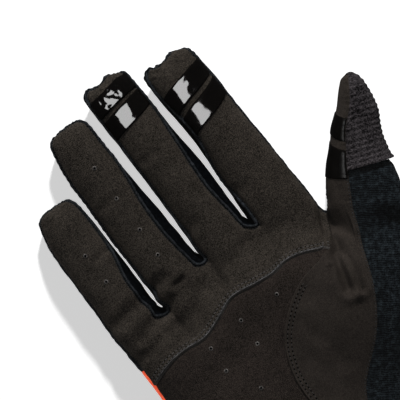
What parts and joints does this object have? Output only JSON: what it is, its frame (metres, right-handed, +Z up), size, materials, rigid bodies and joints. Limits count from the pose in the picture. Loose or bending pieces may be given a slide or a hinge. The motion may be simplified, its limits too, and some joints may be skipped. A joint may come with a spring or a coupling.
{
  "type": "cycling glove",
  "caption": "Full-finger right-hand cycling glove with suede palm, stretch finger sides, ribbed thumb wipe and silicone fingertip grip bands",
  "frame": {"origin": "under the middle of the glove, on the surface that it lies on", "axes": "+Y along the fingers from the cuff to the fingertips, +X towards the thumb, +Z up out of the palm, with the back of the hand down"},
  "size_m": [0.1456, 0.191, 0.0272],
  "materials": {
    "palm_suede": "napped synthetic suede, brown black",
    "thumb_suede": "smooth synthetic suede, brown black",
    "side_stretch": "fine stretch knit, dark navy",
    "back_knit": "matte knit, dark blue green",
    "wipe_terry": "ribbed terry, charcoal",
    "grip_silicone": "high gloss black silicone",
    "side_accent": "woven trim, orange"
  },
  "bodies": {
    "root": {"palm_panel": "palm_suede", "heel_panel": "palm_suede", "thumb_panel": "thumb_suede", "back_panel": "back_knit", "fourchette_index_middle": "side_stretch", "fourchette_middle_ring": "side_stretch", "fourchette_ring_little": "side_stretch", "thumb_wipe": "wipe_terry", "index_grip_upper": "grip_silicone", "index_grip_lower": "grip_silicone", "middle_grip_upper": "grip_silicone", "middle_grip_lower": "grip_silicone", "thumb_grip_upper": "grip_silicone", "thumb_grip_lower": "grip_silicone", "side_trim": "side_accent", "cuff_band": "back_knit"}
  },
  "joints": []
}
